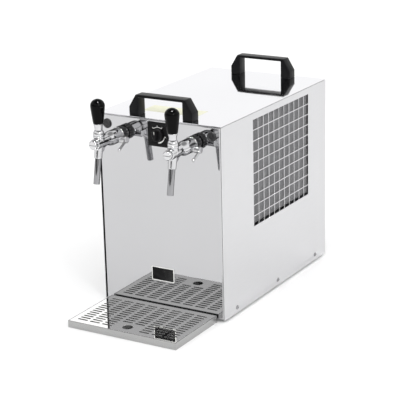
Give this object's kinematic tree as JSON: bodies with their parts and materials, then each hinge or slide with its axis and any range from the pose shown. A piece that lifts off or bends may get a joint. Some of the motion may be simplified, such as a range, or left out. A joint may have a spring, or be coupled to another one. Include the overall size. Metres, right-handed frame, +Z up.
{
  "type": "soda water dispenser",
  "caption": "Countertop soda water dispenser: stainless cabinet with vent grilles and bridge grips, compensator taps, thermostat dial and a loose slotted drip tray.",
  "frame": {"origin": "on the surface the object stands on, under the middle of its whole outline, drip tray included", "axes": "+X to the user's right, +Y to the back, +Z up"},
  "size_m": [0.2944, 0.6446, 0.4625],
  "materials": {
    "satin_steel": "satin",
    "mirror_steel": "mirror polished",
    "polished_steel": "polished",
    "grate_steel": "satin",
    "screw_steel": "satin",
    "rubber": "matte",
    "satin_black": "satin, fine grain",
    "badge_black": "black face, bright rim",
    "plug_black": "satin",
    "dial_black": "satin",
    "switch_body": "matte",
    "chrome": "bright",
    "stem_steel": "bright",
    "nut_black": "satin",
    "gloss_black": "gloss",
    "seal": "matte",
    "foam": "matte",
    "compressor_black": "satin",
    "fin_aluminium": "mill",
    "copper": "drawn",
    "zinc_sheet": "galvanised",
    "motor_grey": "satin",
    "fan_black": "satin",
    "vessel_steel": "satin",
    "pump_blue": "satin",
    "box_grey": "matte",
    "inlet_black": "satin",
    "inlet_blue": "satin"
  },
  "bodies": {
    "cabinet": {"base_pan": "satin_steel", "feet": "rubber", "left_panel": "satin_steel", "right_panel": "satin_steel", "top_cover": "polished_steel", "front_panel": "mirror_steel", "rear_panel": "satin_steel", "side_screws": "screw_steel", "front_grip": "satin_black", "rear_grip": "satin_black", "grip_screws": "screw_steel", "badge_plate": "badge_black", "hole_plugs": "plug_black", "dial_plate": "dial_black", "thermostat_body": "switch_body", "left_shank": "stem_steel", "right_shank": "stem_steel", "shank_nuts": "stem_steel", "left_union_nut": "nut_black", "right_union_nut": "nut_black", "left_tap_body": "chrome", "right_tap_body": "chrome", "left_tap_cap": "chrome", "right_tap_cap": "chrome", "left_bonnet": "chrome", "right_bonnet": "chrome", "left_spout": "chrome", "right_spout": "chrome", "cooling_block": "foam", "drink_lines": "stem_steel", "compressor": "compressor_black", "compressor_mounts": "rubber", "condenser_fins": "fin_aluminium", "condenser_coil": "copper", "fan_shroud": "zinc_sheet", "fan_motor": "motor_grey", "carbonator": "vessel_steel", "water_pump": "pump_blue", "control_box": "box_grey", "mains_inlet": "inlet_black", "water_inlet": "inlet_blue", "gas_inlet": "inlet_black"},
    "left_handle": {"left_lever": "stem_steel", "left_ferrule": "chrome", "left_tap_grip": "gloss_black"},
    "right_handle": {"right_lever": "stem_steel", "right_ferrule": "chrome", "right_tap_grip": "gloss_black"},
    "left_valve": {"left_plunger": "seal"},
    "right_valve": {"right_plunger": "seal"},
    "left_flow": {"left_flow_lever": "chrome"},
    "right_flow": {"right_flow_lever": "chrome"},
    "left_cone": {"left_flow_cone": "seal"},
    "right_cone": {"right_flow_cone": "seal"},
    "knob": {"thermostat_knob": "dial_black"},
    "fan": {"fan_blades": "fan_black"},
    "tray": {"drip_tray": "satin_steel"},
    "grate": {"drip_grate": "grate_steel"}
  },
  "joints": [
    {"name": "left_handle_tilt", "type": "hinge", "parent": "cabinet", "child": "left_handle", "pos_m": [-0.086, -0.24335, 0.391], "axis": [1, 0, 0], "range_deg": [-10, 25]},
    {"name": "left_valve_slide", "type": "slide", "parent": "cabinet", "child": "left_valve", "axis": [0, 1, 0], "range_m": [-0.0036, 0.0084]},
    {"name": "left_flow_turn", "type": "hinge", "parent": "cabinet", "child": "left_flow", "pos_m": [-0.086, -0.18635, 0.368], "axis": [1, 0, 0], "range_deg": [-25, 65]},
    {"name": "left_cone_slide", "type": "slide", "parent": "cabinet", "child": "left_cone", "axis": [0, 1, 0], "range_m": [-0.0012, 0.003]},
    {"name": "right_handle_tilt", "type": "hinge", "parent": "cabinet", "child": "right_handle", "pos_m": [0.086, -0.24335, 0.391], "axis": [1, 0, 0], "range_deg": [-10, 25]},
    {"name": "right_valve_slide", "type": "slide", "parent": "cabinet", "child": "right_valve", "axis": [0, 1, 0], "range_m": [-0.0036, 0.0084]},
    {"name": "right_flow_turn", "type": "hinge", "parent": "cabinet", "child": "right_flow", "pos_m": [0.086, -0.18635, 0.368], "axis": [1, 0, 0], "range_deg": [-25, 65]},
    {"name": "right_cone_slide", "type": "slide", "parent": "cabinet", "child": "right_cone", "axis": [0, 1, 0], "range_m": [-0.0012, 0.003]},
    {"name": "knob_turn", "type": "hinge", "parent": "cabinet", "child": "knob", "pos_m": [0, -0.16025, 0.3795], "axis": [0, 1, 0], "range_deg": [-135, 135]},
    {"name": "fan_spin", "type": "hinge", "parent": "cabinet", "child": "fan", "pos_m": [0.0706, 0.09765, 0.282], "axis": [1, 0, 0], "continuous": true},
    {"name": "tray_slide", "type": "slide", "parent": "cabinet", "child": "tray", "axis": [0, -1, 0], "range_m": [0, 0.16]},
    {"name": "grate_lift", "type": "slide", "parent": "tray", "child": "grate", "axis": [0, 0, 1], "range_m": [0, 0.08]}
  ],
  "couplings": [
    {"joint": "left_valve_slide", "follows": "left_handle_tilt", "m_per_rad": 0.018},
    {"joint": "left_cone_slide", "follows": "left_flow_turn", "m_per_rad": 0.002341},
    {"joint": "right_valve_slide", "follows": "right_handle_tilt", "m_per_rad": 0.018},
    {"joint": "right_cone_slide", "follows": "right_flow_turn", "m_per_rad": 0.002341}
  ]
}
